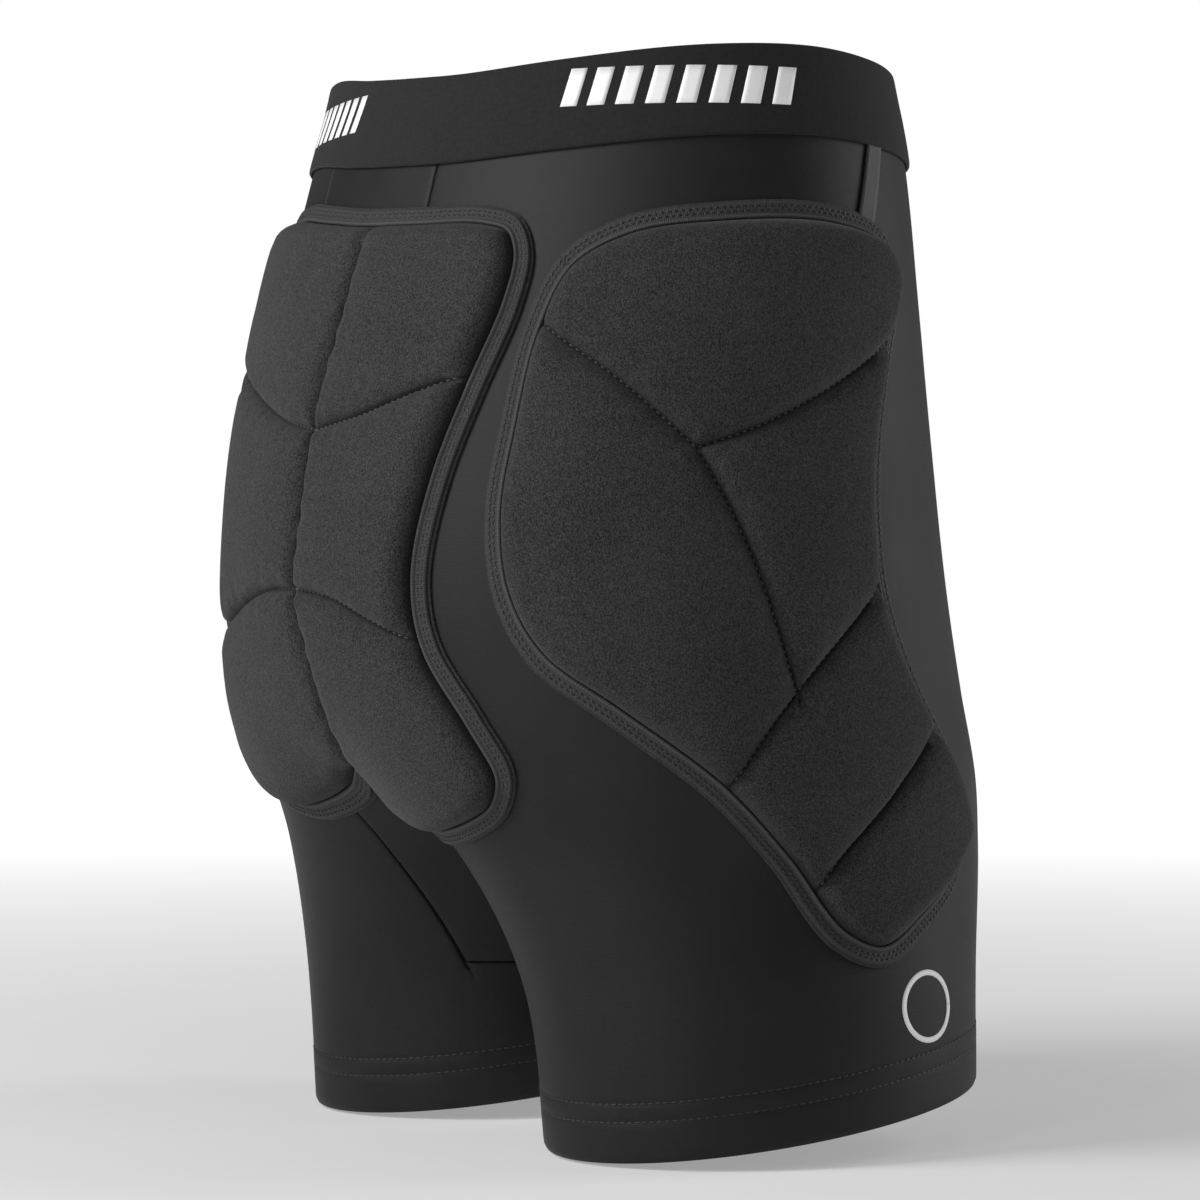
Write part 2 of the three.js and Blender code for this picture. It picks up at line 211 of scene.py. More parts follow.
def make_piece(name, points, faces, material, slot, flat_map=None, smooth=True):
    """One object from points and faces, riding on the frame."""
    mesh = bpy.data.meshes.new(name)
    mesh.from_pydata(np.asarray(points, float).tolist(), [], [list(map(int, f)) for f in faces])
    if smooth:
        mesh.polygons.foreach_set("use_smooth", [True] * len(mesh.polygons))
    if flat_map is not None:
        corners = np.zeros(len(mesh.loops), np.int32)
        mesh.loops.foreach_get("vertex_index", corners)
        layer = mesh.uv_layers.new(name="cut")
        layer.data.foreach_set("uv", np.asarray(flat_map, float)[corners].ravel())
    mesh.validate()
    mesh.update()
    mesh.materials.append(material)
    piece = add_object(name, mesh)
    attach(piece, "root")
    print("made", name, len(mesh.vertices), "points")
    return piece


def thicken(points, faces, normals, thickness):
    """A sheet's outer face, an inner face under it, and a wall along every open edge."""
    count = len(points)
    thickness = np.broadcast_to(thickness, count)
    inner = points - normals * thickness[:, None]
    directed = {}
    for face in faces:
        for a, b in zip(face, np.roll(face, -1)):
            directed[(int(a), int(b))] = True
    walls = [(b, a, a + count, b + count) for a, b in directed if (b, a) not in directed]
    under = [[int(i) + count for i in reversed(face)] for face in faces]
    return np.vstack([points, inner]), [*faces, *under, *walls]


def grid_faces(rows, columns, closed=False):
    """Quads over a grid of points, row after row. Closed joins the last column to the first."""
    made = []
    for i in range(rows - 1):
        for j in range(columns if closed else columns - 1):
            k = (j + 1) % columns
            here, above = i * columns, (i + 1) * columns
            made.append((here + j, here + k, above + k, above + j))
    return made


def ring_faces(rows, columns):
    """Quads over a closed profile, one row to each of its points, carried round a loop."""
    last = (rows - 1) * columns
    made = grid_faces(rows, columns, closed=True)
    made += [(last + i, last + (i + 1) % columns, (i + 1) % columns, i) for i in range(columns)]
    return made


def oriented(faces, side):
    """Faces that look outwards, once what they cover is bent or mirrored to that side."""
    return [f[::-1] for f in faces] if side < 0 else faces


def compact(faces):
    """The points that some faces use, and the faces counted in those points alone."""
    used = sorted({i for face in faces for i in face})
    place = {old: new for new, old in enumerate(used)}
    return used, [[place[i] for i in face] for face in faces]


# %% [markdown]
# ## Shader maths as expressions
# A material's pattern is arithmetic on coordinates and noise. Written as nodes it is long, so a
# small class wraps a node's output and turns + - * and / into Math nodes. Everything else
# comes from one method that takes the node's type, its settings and its inputs.

# %% Paint and Reading
class Reading:
    """A value that changes over the surface, with arithmetic."""

    def __init__(self, paint, socket):
        self.paint = paint
        self.socket = socket

    def _math(self, operation, first, second):
        return self.paint.node("ShaderNodeMath", {"operation": operation}, {0: first, 1: second})

    def __add__(self, other):
        return self._math("ADD", self, other)

    def __sub__(self, other):
        return self._math("SUBTRACT", self, other)

    def __mul__(self, other):
        return self._math("MULTIPLY", self, other)

    def __truediv__(self, other):
        return self._math("DIVIDE", self, other)

    def __rsub__(self, other):
        return self._math("SUBTRACT", other, self)

    __radd__ = __add__

    def sine(self):
        return self._math("SINE", self, 0.0)

    def at_least(self, floor):
        return self._math("MAXIMUM", self, floor)

    def at_most(self, ceiling):
        return self._math("MINIMUM", self, ceiling)

    def share(self):
        """Held between 0 and 1."""
        return self.at_least(0.0).at_most(1.0)

    def waves(self, length):
        """Even waves from -1 to 1, one to each length."""
        return (self * (2 * math.pi / length)).sine()


class Paint:
    """One material, and the node tree that it is mixed in."""

    def __init__(self, name, **constants):
        self.material = bpy.data.materials.new(name)
        self.material.use_nodes = True
        self.tree = self.material.node_tree
        self.shader = self.tree.nodes["Principled BSDF"]
        for socket, value in constants.items():
            self.shader.inputs[socket.replace("_", " ")].default_value = value

    def node(self, kind, settings=None, inputs=None, output=0):
        made = self.tree.nodes.new(kind)
        for key, value in (settings or {}).items():
            setattr(made, key, value)
        for key, value in (inputs or {}).items():
            if isinstance(value, Reading):
                self.tree.links.new(value.socket, made.inputs[key])
            else:
                made.inputs[key].default_value = value
        return Reading(self, made.outputs[output])

    def place(self, stretch=(1, 1, 1)):
        """The surface point in metres, stretched along each axis."""
        here = self.node("ShaderNodeTexCoord", output="Object")
        return self.node("ShaderNodeVectorMath", {"operation": "MULTIPLY"}, {0: here, 1: stretch})

    def cut(self):
        """The point on the flat cut, as two readings in metres."""
        flat = self.node("ShaderNodeUVMap", {"uv_map": "cut"})
        split = {"Vector": flat}
        return tuple(self.node("ShaderNodeSeparateXYZ", {}, split, output=i) for i in (0, 1))

    def noise(self, size, detail=2.0, stretch=(1, 1, 1), rough=0.55):
        """Cloudy noise from 0 to 1 whose patches are about that size, in metres."""
        return self.node("ShaderNodeTexNoise", {}, {
            "Vector": self.place(stretch), "Scale": 1 / size, "Detail": detail, "Roughness": rough})

    def blend(self, dark, light, share):
        """A colour between two, by a share from 0 to 1."""
        return self.node("ShaderNodeMix", {"data_type": "RGBA"}, {
            "Factor": share, "A": dark, "B": light}, output="Result")

    def put(self, **readings):
        for socket, reading in readings.items():
            self.tree.links.new(reading.socket, self.shader.inputs[socket.replace("_", " ")])

    def relief(self, height, depth, strength=1.0):
        """Bumps of that depth, in metres, from a height of 0 to 1."""
        bump = self.node("ShaderNodeBump", {}, {
            "Height": height, "Distance": depth, "Strength": strength}, output="Normal")
        self.put(Normal=bump)


def grey(level, warmth=0.0):
    """A nearly neutral colour, as linear light."""
    return (level * (1 + warmth), level, level * (1 - warmth), 1)


# %% [markdown]
# ## The finishes
# Ten finishes dress the shorts. Most are nearly black, so what tells them apart is how they take
# the light: smooth knit has a broad soft highlight, the brushed pad cloth scatters it in short
# pale fibres, the elastic is mottled like felt, and the binding is a rib of twisted yarn. Each is
# built from noise at the size of the real thing, in metres, because then it stays true on any
# piece, whatever its shape.

# %% Knit of the shell
def knit_paint():
    paint = Paint("stretch_knit", Roughness=0.6, Specular_IOR_Level=0.22, Sheen_Weight=0.02)
    to_seam, _ = paint.cut()
    rows = (paint.node("ShaderNodeSeparateXYZ", {}, {"Vector": paint.place()}, output=2)
            .waves(0.7 * MM)) * 0.5 + 0.5
    loops = paint.noise(0.45 * MM, 1.0, (1, 1, 1.6))
    cloud = paint.noise(38 * MM, 3.0)
    # Painted shade: the knit's colour darkens within 0.7 mm of a seam, as shade in the seam's groove.
    painted_groove_shade = (to_seam / (0.7 * MM)).at_most(1.0)
    shade = (loops * 0.5 + cloud * 0.5) * painted_groove_shade
    paint.put(Base_Color=paint.blend(grey(0.001), grey(0.017), shade))
    paint.put(Roughness=cloud * 0.12 + 0.52)
    paint.relief(rows * 0.4 + loops, 0.12 * MM, 0.5)
    return paint.material


def band_paint():
    paint = Paint("waist_elastic", Roughness=0.85, Specular_IOR_Level=0.12, Sheen_Weight=0.05)
    mottle = paint.noise(1.7 * MM, 3.0, (1, 1, 1.3))
    fibre = paint.noise(0.5 * MM, 2.0)
    shade = (mottle * 0.6 + fibre * 0.55 - 0.12).share()
    paint.put(Base_Color=paint.blend(grey(0.006), grey(0.026), shade))
    paint.relief(mottle * 0.5 + fibre * 0.5, 0.25 * MM, 0.6)
    return paint.material


def cover_paint():
    paint = Paint("brushed_pad_cloth", Roughness=0.92, Specular_IOR_Level=0.1, Sheen_Weight=0.08)
    to_channel, to_edge = paint.cut()
    fibre = paint.noise(0.55 * MM, 2.5, (1, 1, 0.8), 0.6)
    tuft = paint.noise(1.9 * MM, 2.0)
    wear = paint.noise(55 * MM, 2.0)
    spark = ((fibre - 0.4) * 3.6).share()
    # Painted shade: the cover darkens towards each stitched channel and towards its bound edge, as
    # shade in the channels and in the gap under the binding's ridge; the reach at the channels wavers
    # with the fibres.
    channel_shade_reach = 1.3 * MM + (fibre - 0.5) * 1.6 * MM
    painted_groove_shade = (to_channel / channel_shade_reach.at_least(0.3 * MM) + 0.05).at_most(1.0)
    painted_groove_shade = painted_groove_shade * (to_edge / (1.5 * MM) + 0.05).at_most(1.0)
    shade = (spark * 0.72 + tuft * 0.3 + (wear - 0.5) * 0.2).share() * painted_groove_shade
    paint.put(Base_Color=paint.blend(grey(0.006), grey(0.06), shade))
    paint.relief(fibre * 0.7 + tuft * 0.3, 0.3 * MM, 0.7)
    return paint.material


STITCH_LINES = (1.7, 3.5)  # where the binding's two rows of thread lie, in from its edge


def binding_paint():
    paint = Paint("binding_tape", Roughness=0.7, Specular_IOR_Level=0.2, Sheen_Weight=0.04)
    along, across = paint.cut()
    chain = along.waves(2.2 * MM)
    ribs = (along * (2 * math.pi / (0.8 * MM)) + chain * 0.8).sine() * 0.5 + 0.5
    yarn = paint.noise(0.4 * MM, 2.0)
    # Painted highlight: the cord-like ridge along the tape's inner edge is painted lighter, as the
    # light it catches.
    ridge = ((across - 4.9 * MM) * 1500).share()
    # Painted shade: the tape darkens along its two rows of stitching, as shade in the grooves the
    # thread pulls in.
    off_middle = across - sum(STITCH_LINES) / 2 * MM
    past_rows = off_middle * off_middle - (STITCH_LINES[1] - STITCH_LINES[0]) ** 2 / 4 * MM ** 2
    painted_stitch_shade = (1 - past_rows * past_rows / (0.75 * MM ** 2) ** 2).at_least(0.0)
    shade = (ribs * 0.35 + yarn * 0.5 + ridge * 0.3).at_most(1.0) * (1 - painted_stitch_shade * 0.75)
    paint.put(Base_Color=paint.blend(grey(0.005), grey(0.075), shade))
    paint.relief(ribs * 0.6 + yarn * 0.4, 0.2 * MM, 0.7)
    return paint.material


def lining_paint():
    paint = Paint("pad_lining_mesh", Roughness=0.85, Sheen_Weight=0.05)
    holes = paint.node("ShaderNodeTexVoronoi", {"feature": "F1"}, {
        "Vector": paint.place(), "Scale": 1 / (1.3 * MM)})
    # Nearly black: the lining's own colour, kept this dark so that its rim past the binding reads as a
    # painted shadow line.
    paint.put(Base_Color=paint.blend(grey(0.004), grey(0.018), (holes * 1.4).at_most(1.0)))
    paint.relief(holes, 0.3 * MM, 0.8)
    return paint.material


def foam_paint():
    paint = Paint("closed_cell_foam", Roughness=0.95)
    cells = paint.node("ShaderNodeTexVoronoi", {"feature": "F1"}, {
        "Vector": paint.place(), "Scale": 1 / (0.8 * MM)})
    tone = paint.noise(20 * MM, 2.0)
    paint.put(Base_Color=paint.blend(grey(0.2, 0.03), grey(0.3, 0.05), cells * 0.6 + tone * 0.4))
    paint.relief(cells, 0.25 * MM, 0.7)
    return paint.material


def tape_paint():
    paint = Paint("tab_tape", Roughness=0.7, Sheen_Weight=0.1)
    along, across = paint.cut()
    rib = across.waves(1.1 * MM) * 0.5 + 0.5
    weft = along.waves(0.7 * MM) * 0.5 + 0.5
    yarn = paint.noise(0.4 * MM, 2.0)
    paint.put(Base_Color=paint.blend(grey(0.012), grey(0.05), rib * 0.4 + weft * 0.25 + yarn * 0.35))
    paint.relief(rib * 0.7 + weft * 0.3, 0.2 * MM, 0.7)
    return paint.material


def ink_paint():
    paint = Paint("transfer_film", Roughness=0.55)
    grain = paint.noise(0.6 * MM, 2.0)
    paint.put(Base_Color=paint.blend(grey(0.72), grey(0.86), grain))
    paint.relief(grain, 0.05 * MM, 0.4)
    return paint.material


def thread_paint(name, dark, light):
    paint = Paint(name, Roughness=0.6, Sheen_Weight=0.1)
    ply = paint.noise(0.3 * MM, 2.0, (1, 1, 0.5))
    paint.put(Base_Color=paint.blend(grey(dark), grey(light), ply))
    paint.relief(ply, 0.08 * MM, 0.6)
    return paint.material


KNIT, ELASTIC, BRUSHED = knit_paint(), band_paint(), cover_paint()
BINDING, LINING, FOAM = binding_paint(), lining_paint(), foam_paint()
TAPE, INK = tape_paint(), ink_paint()
DARK_THREAD = thread_paint("black_thread", 0.002, 0.01)
PALE_THREAD = thread_paint("grey_thread", 0.02, 0.08)
print("finishes", len(bpy.data.materials))

# %% [markdown]
# ## Rows of stitches
# A seam shows as a row of small thread grains, each a little mound that dives into the cloth at
# both ends. One grain is modelled once, as points along, across and up, and then laid out along
# a path with numpy, so that a thousand stitches are one mesh. Instancing would do too, but one
# plain mesh travels better to other programs.

# %% A stitch, and a row of them
GRAIN_RINGS = ((-0.5, 0.25, -0.3), (-0.34, 0.85, 0.55), (0.0, 1.0, 1.0), (0.34, 0.85, 0.55),
               (0.5, 0.25, -0.3))
GRAIN_ARC = ((-1.0, 0.0), (-0.62, 0.78), (0.0, 1.0), (0.62, 0.78), (1.0, 0.0), (0.0, -0.4))


HALF_STEP = 0.3 * MM  # how far ahead and behind the direction of travel is taken


def run_of(path):
    """How far along a path each of its points is."""
    return np.concatenate([[0], np.cumsum(np.linalg.norm(np.diff(path, axis=0), axis=1))])


def read_along(path, run, at):
    """Every column of a path, read at places along its run."""
    return np.stack([np.interp(at, run, column) for column in path.T], axis=1)


def even_steps(path, step):
    """Places along a path at even steps, with the direction of travel at each."""
    run = run_of(path[:, :3])
    count = max(1, int(run[-1] / step))
    at = (np.arange(count) + 0.5) * run[-1] / count
    travel = read_along(path, run, at + HALF_STEP) - read_along(path, run, at - HALF_STEP)
    return read_along(path, run, at), travel


def stitch_rows(name, rows, material, length, width, rise, pitch, zigzag=0.0):
    """One mesh of stitches along several rows. A row is its points and its normals."""
    grain = np.array([(a * length, s * w * width / 2, u * h * rise)
                      for a, w, h in GRAIN_RINGS for s, u in GRAIN_ARC])
    sides = len(GRAIN_ARC)
    template = [(i * sides + j, i * sides + (j + 1) % sides, (i + 1) * sides + (j + 1) % sides,
                 (i + 1) * sides + j) for i in range(len(GRAIN_RINGS) - 1) for j in range(sides)]
    last = (len(GRAIN_RINGS) - 1) * sides
    template += [tuple(range(sides))[::-1], tuple(range(last, last + sides))]
    points, faces = [], []
    for path, normals in rows:
        both, heading = even_steps(np.hstack([path, normals]), pitch)
        middle, up, ahead = both[:, :3], unit(both[:, 3:]), unit(heading[:, :3])
        across = np.cross(up, ahead)
        for i, (m, a, c, u) in enumerate(zip(middle, ahead, across, up)):
            lean = zigzag * (-1) ** i
            turned = a * math.cos(lean) + c * math.sin(lean)
            beside = c * math.cos(lean) - a * math.sin(lean)
            start = len(points) * len(grain)
            points.append(m + grain @ np.array([turned, beside, u]))
            faces += [tuple(start + k for k in face) for face in template]
    return make_piece(name, np.vstack(points), faces, material, "thread")


# %% [markdown]
# ## The shell
# The shell is five panels of stretch knit: back, front, two sides that run down into the legs,
# and a crotch gusset. Their seams are crisp dark lines on any such shorts, because the panels
# roll in where they are sewn; the knit is also painted darker beside each seam, as shade in the
# groove. The two leg tubes are joined by a voxel remesh, every point is then moved onto the body's
# smooth field, and the result is cut along the seams.

# %% Join the two leg tubes and settle them on the body
def leg_tube(side):
    """A closed tube round one leg and its half of the hips."""
    sides = 72
    levels = np.arange(-455, 12, 6.0) * MM
    spread, wide, deep, lean = body_at(levels)
    turn = np.linspace(0, 2 * math.pi, sides, endpoint=False)
    x = side * (spread[:, None] + wide[:, None] * np.cos(turn))
    y = lean[:, None] + deep[:, None] * np.sin(turn)
    points = np.stack([x, y, np.repeat(levels[:, None], sides, 1)], axis=2).reshape(-1, 3)
    faces = grid_faces(len(levels), sides, closed=True)
    top = (len(levels) - 1) * sides
    faces += [tuple(range(sides))[::-1], tuple(range(top, top + sides))]
    return points, oriented(faces, side)


def evaluated(name, points, faces, modifiers):
    """The mesh that modifiers make of some points and faces, as a new mesh."""
    mesh = bpy.data.meshes.new(name)
    mesh.from_pydata(points.tolist(), [], [list(map(int, f)) for f in faces])
    holder = add_object(name, mesh)
    for kind, settings in modifiers:
        modifier = holder.modifiers.new(kind.lower(), kind)
        for key, value in settings.items():
            setattr(modifier, key, value)
    made = bpy.data.meshes.new_from_object(
        holder.evaluated_get(bpy.context.evaluated_depsgraph_get()))
    bpy.data.objects.remove(holder)
    return made


SHELL_VOXEL = 4.5 * MM
right_points, right_faces = leg_tube(-1)
left_points, left_faces = leg_tube(1)
both_faces = right_faces + [tuple(i + len(right_points) for i in f) for f in left_faces]
form = evaluated("form", np.vstack([right_points, left_points]), both_faces, [
    ("REMESH", {"mode": "VOXEL", "voxel_size": SHELL_VOXEL})])
skin = np.array([v.co for v in form.vertices], float)
inside = (skin[:, 2] > -0.452) & (skin[:, 2] < 0.0)
for _ in range(4):
    drift = off_body(skin[inside])
    slope = slope_of(off_body, skin[inside])
    skin[inside] -= slope * (drift / np.maximum((slope ** 2).sum(1), 0.2))[:, None]
form.vertices.foreach_set("co", skin.astype(np.float32).ravel())
print("form", len(skin), "points, furthest from the body", np.abs(off_body(skin[inside])).max())

# %% Cut the seams
BACK_HALF, FRONT_HALF, GUSSET_HALF = 43 * MM, 46 * MM, 30 * MM
GUSSET_TOP, GUSSET_LOW = -262 * MM, -364 * MM
TUCK = 24 * MM
HEM_ROWS = (15.9, 23.0)  # how high the two rows of stitching are above the hem
SEAM_LOOPS = (-2.4, -1.1, -0.55, -0.25, 0.0, 0.25, 0.55, 1.1, 2.4)
HEM_LOOPS = (0.7, 1.6, 14.8, 15.5, 16.3, 17.2, 21.8, 22.6, 23.4, 24.4)


def cut_plane(bm, where, normal, keep=None, clear=False):
    """Adds an edge loop along a plane, only in the faces that keep picks, or cuts what's beyond."""
    faces = [f for f in bm.faces if keep is None or keep(f.calc_center_median())]
    edges = {e for f in faces for e in f.edges}
    verts = {v for f in faces for v in f.verts}
    bmesh.ops.bisect_plane(bm, geom=[*verts, *edges, *faces], dist=1e-7, plane_co=where,
                           plane_no=normal, clear_outer=clear)


bm = bmesh.new()
bm.from_mesh(form)
cut_plane(bm, (0, 0, -TUCK), (0, 0, 1), clear=True)
cut_plane(bm, (0, 0, -HEM_DROP), (0, -HEM_TILT, -1), clear=True)
for loop in HEM_LOOPS:
    cut_plane(bm, (0, 0, -HEM_DROP + loop * MM), (0, HEM_TILT, 1), lambda c: c.z < -0.35)
for sign in (-1, 1):
    for loop in SEAM_LOOPS:
        for half, front in ((BACK_HALF, -1), (FRONT_HALF, 1)):
            x = sign * (half + loop * MM)
            cut_plane(bm, (x, 0, 0), (1, 0, 0), lambda c: abs(c.x - x) < 0.012
                      and c.y * front < 0 and c.z > GUSSET_TOP - 0.005)
        x = sign * (GUSSET_HALF + loop * MM)
        cut_plane(bm, (x, 0, 0), (1, 0, 0), lambda c: abs(c.x - x) < 0.012
                  and GUSSET_LOW - 0.006 < c.z < GUSSET_TOP + 0.006)
for loop in SEAM_LOOPS:
    z = GUSSET_TOP + loop * MM
    cut_plane(bm, (0, 0, z), (0, 0, 1), lambda c: abs(c.z - z) < 0.012 and abs(c.x) < 0.052)
    z = GUSSET_LOW + loop * MM
    cut_plane(bm, (0, 0, z), (0, 0, 1), lambda c: abs(c.z - z) < 0.012 and abs(c.x) < 0.036)
bm.verts.index_update()
shell_points = np.array([v.co for v in bm.verts], float)
shell_faces = [[v.index for v in f.verts] for f in bm.faces]
centres = np.array([f.calc_center_median() for f in bm.faces])
bm.free()
print("shell", len(shell_faces), "faces")

# %% [markdown]
# ### Panels with rolled edges
# Each face belongs to the panel that its centre lies in. Near a seam the cloth dips, and at the
# hem it doubles, so the depth of every point comes from how far it is from the nearest seam.

# %% Make the five panels
cx, cy, cz = np.abs(centres[:, 0]), centres[:, 1], centres[:, 2]
in_gusset = (cx < GUSSET_HALF) & (cz < GUSSET_TOP) & (cz > GUSSET_LOW)
in_back = (cx < BACK_HALF) & (cz > GUSSET_TOP) & (cy > 0)
in_front = (cx < FRONT_HALF) & (cz > GUSSET_TOP) & (cy < 0)
in_side = ~(in_gusset | in_back | in_front)
PANELS = {
    "back_panel": ("shell_back", in_back), "front_panel": ("shell_front", in_front),
    "crotch_panel": ("crotch_gusset", in_gusset),
    "right_side_panel": ("shell_side_right", in_side & (centres[:, 0] < 0)),
    "left_side_panel": ("shell_side_left", in_side & (centres[:, 0] > 0)),
}


def seam_distance(p):
    """How far each point is from the nearest seam between panels."""
    x, y, z = np.abs(p[:, 0]), p[:, 1], p[:, 2]
    away = np.full(len(p), 1.0)
    upper = z > GUSSET_TOP - 0.003
    away = np.where(upper & (y > 0), np.minimum(away, np.abs(x - BACK_HALF)), away)
    away = np.where(upper & (y < 0), np.minimum(away, np.abs(x - FRONT_HALF)), away)
    middle = (z < GUSSET_TOP + 0.003) & (z > GUSSET_LOW - 0.003)
    away = np.where(middle, np.minimum(away, np.abs(x - GUSSET_HALF)), away)
    away = np.where(x < FRONT_HALF, np.minimum(away, np.abs(z - GUSSET_TOP)), away)
    return np.where(x < GUSSET_HALF, np.minimum(away, np.abs(z - GUSSET_LOW)), away)


def dip(distance, width, depth):
    return depth * np.exp(-(distance / width) ** 2)


shell_normals = unit(slope_of(off_body, shell_points))
above_hem = shell_points[:, 2] + HEM_DROP + HEM_TILT * shell_points[:, 1]
to_seam = seam_distance(shell_points)
inset = dip(to_seam, 0.9 * MM, 0.5 * MM) + dip(to_seam, 0.3 * MM, 0.7 * MM)
for row in HEM_ROWS:
    inset += dip(above_hem - row * MM, 0.7 * MM, 0.35 * MM)
inset += dip(above_hem, 1.0 * MM, 0.7 * MM) - 0.25 * MM / (1 + np.exp((above_hem - 23 * MM) / MM))
relaxed = shell_points - shell_normals * inset[:, None]
doubled = 1 / (1 + np.exp((above_hem - 24 * MM) / (0.6 * MM)))
depth = (1.0 + 1.0 * doubled) * MM - inset * 0.4
for name, (node, mask) in PANELS.items():
    used, faces = compact([shell_faces[i] for i in np.flatnonzero(mask)])
    sheet = thicken(relaxed[used], faces, shell_normals[used], depth[used])
    # The cut map holds each point's distance to the nearest seam, from which the knit paints its seam
    # shade, and its height above the hem.
    marks = np.column_stack([to_seam, above_hem])[used]
    piece = make_piece(name, *sheet, KNIT, "shell_knit", np.vstack([marks, marks]))
    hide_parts(node)

# %% [markdown]
# ### Twin rows of hem stitching
# A coverstitch holds the turned hem: two even rows, seven millimetres apart. Each row follows
# the leg at a set height above the hem, so its path is the leg's ellipse, lifted by the tilt.

# %% Stitch the hems
def leg_ring(side, above, lift=0.0):
    """A closed path round one leg at a height above the hem, with its normals."""
    turn = np.linspace(0, 2 * math.pi, 241)
    y = np.zeros_like(turn)
    for _ in range(4):
        z = -HEM_DROP + above - HEM_TILT * y
        spread, wide, deep, lean = body_at(z)
        y = lean + deep * np.sin(turn)
    path = np.stack([side * (spread + wide * np.cos(turn)), y, z], axis=1)
    normal = np.stack([side * np.cos(turn) / wide, np.sin(turn) / deep, 0 * turn], axis=1)
    normal = unit(normal)
    return path + normal * lift, normal


hem_rows = {side: [leg_ring(side, h * MM, -0.05 * MM) for h in HEM_ROWS] for side in (-1, 1)}
hem_threads = [stitch_rows(f"{word}_hem_stitches", hem_rows[side], DARK_THREAD,
                           2.5 * MM, 0.7 * MM, 0.35 * MM, 3.1 * MM)
               for side, word in ((-1, "right"), (1, "left"))]

# %% [markdown]
# ## The waistband
# A wide soft elastic, laid over the shell's top edge. It is a plain ring, so it is drawn as one
# profile, with rounded top and bottom edges, carried round the body in 220 steps.

# %% Make the waistband
BAND_STEPS = 220
# The rim dips at the back and the front and rises over the hips: turn in degrees, height in mm.
RIM = np.array([
    (-180, -3.5), (-140, -3.5), (-100, -0.5), (-65, 2.4), (-33, 2.6), (-10, -2), (10, -4.8),
    (28, -6), (50, -3.8), (75, 0.5), (90, 1.4), (105, -0.6), (125, -3), (150, -3.5)])
BAND_PROFILE = MM * np.array([  # drop below the rim, rise off the shell
    (0.5, 0.3), (0.1, 0.65), (0.0, 1.1), (0.15, 1.6), (0.6, 1.95), (1.4, 2.05), (5, 2.1), (11, 2.1),
    (18, 2.15), (25, 2.1), (31, 2.05), (34.3, 2.0), (35.4, 1.85), (35.9, 1.4), (36, 0.9), (35.8, 0.45),
    (34, 0.35), (24, 0.3), (12, 0.3), (4, 0.3)])


def rim_drop(arc, drop):
    """The height of a point that hangs a given drop below the rim."""
    laps = np.vstack([RIM + (lap, 0) for lap in (-360, 0, 360)])
    return through(laps, np.degrees(arc / WRAP_RADIUS))[0] * MM - drop


arcs = np.linspace(-math.pi, math.pi, BAND_STEPS, endpoint=False) * WRAP_RADIUS
rings = [wrapped(np.stack([arcs, rim_drop(arcs, drop), np.full(BAND_STEPS, rise)], axis=1))[0]
         for drop, rise in BAND_PROFILE]
band_faces = ring_faces(len(rings), BAND_STEPS)
band = make_piece("waist_elastic", np.vstack(rings), band_faces, ELASTIC, "band_elastic")
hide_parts("waistband")

# %% [markdown]
# ## The pads: flat patterns
# Each pad is sewn flat: a lining, foam cells, a brushed cover stitched down between the cells,
# and a bound edge. The outlines and the stitched channels are the solid model's, as smooth
# curves through its points. A pattern is meshed as triangles whose edges lie exactly on the
# channels, with fine rows of points beside them and beside the edge, where the surface bends
# most. A plain grid would turn every slanting channel into a staircase.

# %% Outlines and channels
TAIL_OUTLINE = [
    (10, -58), (55, -60), (98, -62), (113, -67), (119, -80), (115, -101), (101, -133),
    (87, -168), (79, -205), (83, -229), (101, -257), (113, -280), (108, -295), (91, -304),
    (62, -308), (34, -301), (8, -283), (-20, -292), (-45, -299), (-66, -302), (-85, -298),
    (-99, -287), (-106, -271), (-102, -251), (-93, -229), (-89, -205), (-90, -168), (-96, -133),
    (-105, -101), (-110, -78), (-107, -62), (-95, -53), (-70, -51), (-35, -54)]
TAIL_CHANNELS = [
    [(33, -30), (21, -86), (11, -147), (8, -180), (3, -208), (8, -232), (11, -258), (8, -340)],
    [(10, -147), (42, -142), (72, -134), (130, -119)],
    [(12, -147), (-12, -143), (-42, -135), (-71, -127), (-130, -112)],
    [(2, -208), (30, -212), (52, -220), (77, -229), (130, -245)],
    [(4, -208), (-22, -209), (-52, -215), (-80, -224), (-130, -242)],
]
HIP_OUTLINE = [(133, -82), (158, -68), (190, -63), (234, -62), (263, -70), (273, -88),
               (265, -118), (259, -150), (257, -178), (261, -210), (274, -237), (300, -274),
               (316, -303), (303, -326), (280, -342), (256, -354), (236, -346), (214, -315),
               (188, -288), (152, -260), (123, -238), (109, -213), (105, -181), (110, -147),
               (119, -108)]
HIP_CHANNELS = [
    [(90, -80), (131, -112), (156, -131), (181, -156)],
    [(181, -156), (203, -147), (229, -132), (253, -116), (300, -86)],
    [(181, -156), (193, -181), (204, -209), (217, -248), (218, -251)],
    [(288, -168), (251, -208), (217, -248), (194, -283), (163, -330)],
    [(318, -234), (282, -264), (249, -298), (230, -324), (203, -361)],
]
BORDER_WIDTH = 7.0


